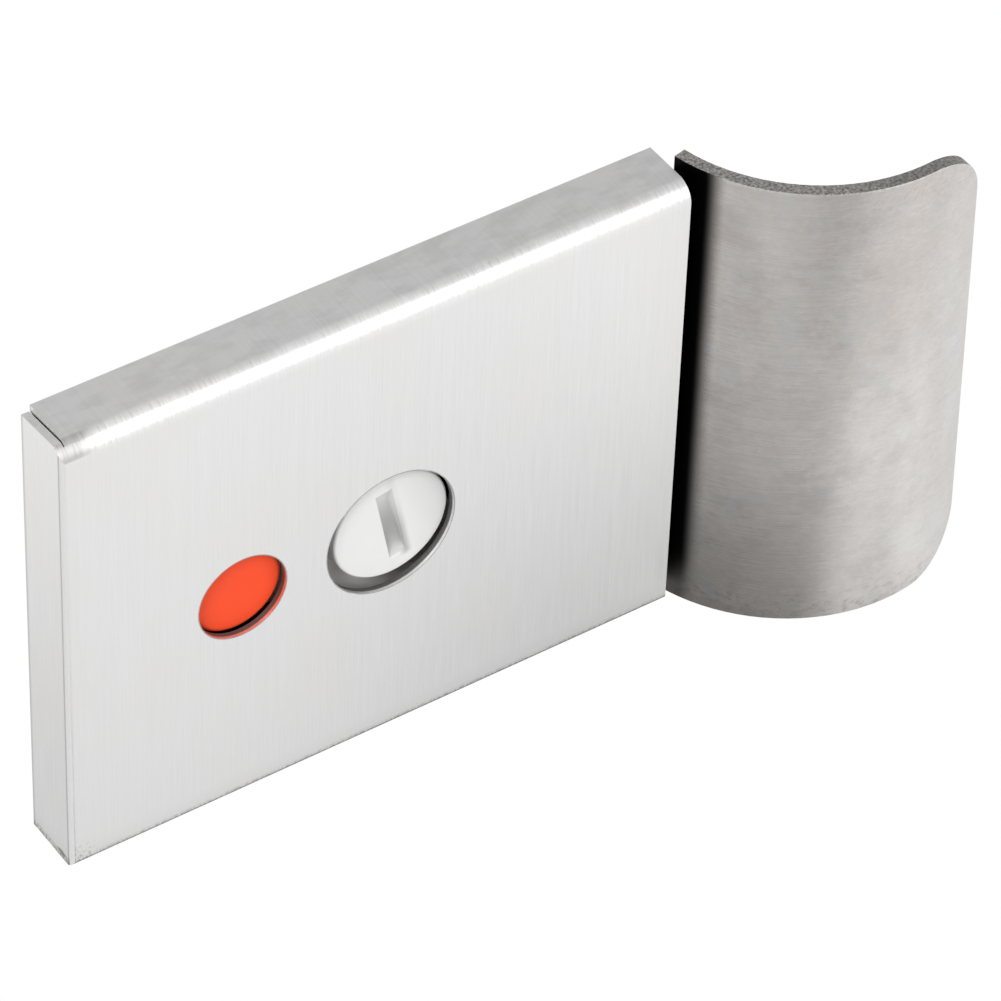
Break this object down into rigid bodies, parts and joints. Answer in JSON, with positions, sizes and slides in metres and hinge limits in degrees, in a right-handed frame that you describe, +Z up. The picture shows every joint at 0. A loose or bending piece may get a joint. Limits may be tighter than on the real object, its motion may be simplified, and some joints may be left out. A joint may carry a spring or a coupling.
{
  "type": "toilet indicator bolt",
  "caption": "Outside unit of a cubicle door bolt: folded steel cover with an indicator window and a coin-slot release, a curved pull plate and a drive tail through the door.",
  "frame": {"origin": "on the release axis, in the plane of the door's face, midway between the two fixing holes", "axes": "+X along the cover towards the pull, +Y into the door along the release axis, +Z up the door"},
  "size_m": [0.1417, 0.056, 0.0803],
  "materials": {
    "cover_steel": "fine upright brush lines",
    "pull_steel": "fine level brush lines",
    "inner_steel": "mill",
    "spring_steel": "dull",
    "post_brass": "turned",
    "white_nylon": "moulded",
    "washer_nylon": "moulded",
    "red_plastic": "moulded",
    "green_plastic": "moulded"
  },
  "bodies": {
    "outside_unit": {"front_cover": "cover_steel", "left_pillar": "inner_steel", "right_pillar": "inner_steel", "pull_plate": "pull_steel", "spindle_bush": "white_nylon", "detent_spring": "spring_steel", "spring_post": "post_brass", "stop_pin": "inner_steel"},
    "release_rotor": {"release_knob": "white_nylon", "indicator_plate": "inner_steel", "red_pad": "red_plastic", "green_pad": "green_plastic", "red_keeper": "spring_steel", "green_keeper": "spring_steel", "drive_spindle": "inner_steel", "friction_washer": "washer_nylon", "thrust_washer": "washer_nylon", "spindle_clip": "spring_steel", "drive_tail": "inner_steel", "tail_pin": "spring_steel"}
  },
  "joints": [
    {"name": "release_turn", "type": "hinge", "parent": "outside_unit", "child": "release_rotor", "pos_m": [0, 0, 0], "axis": [0, -1, 0], "range_deg": [0, 90], "deforming": ["detent_spring"]}
  ]
}
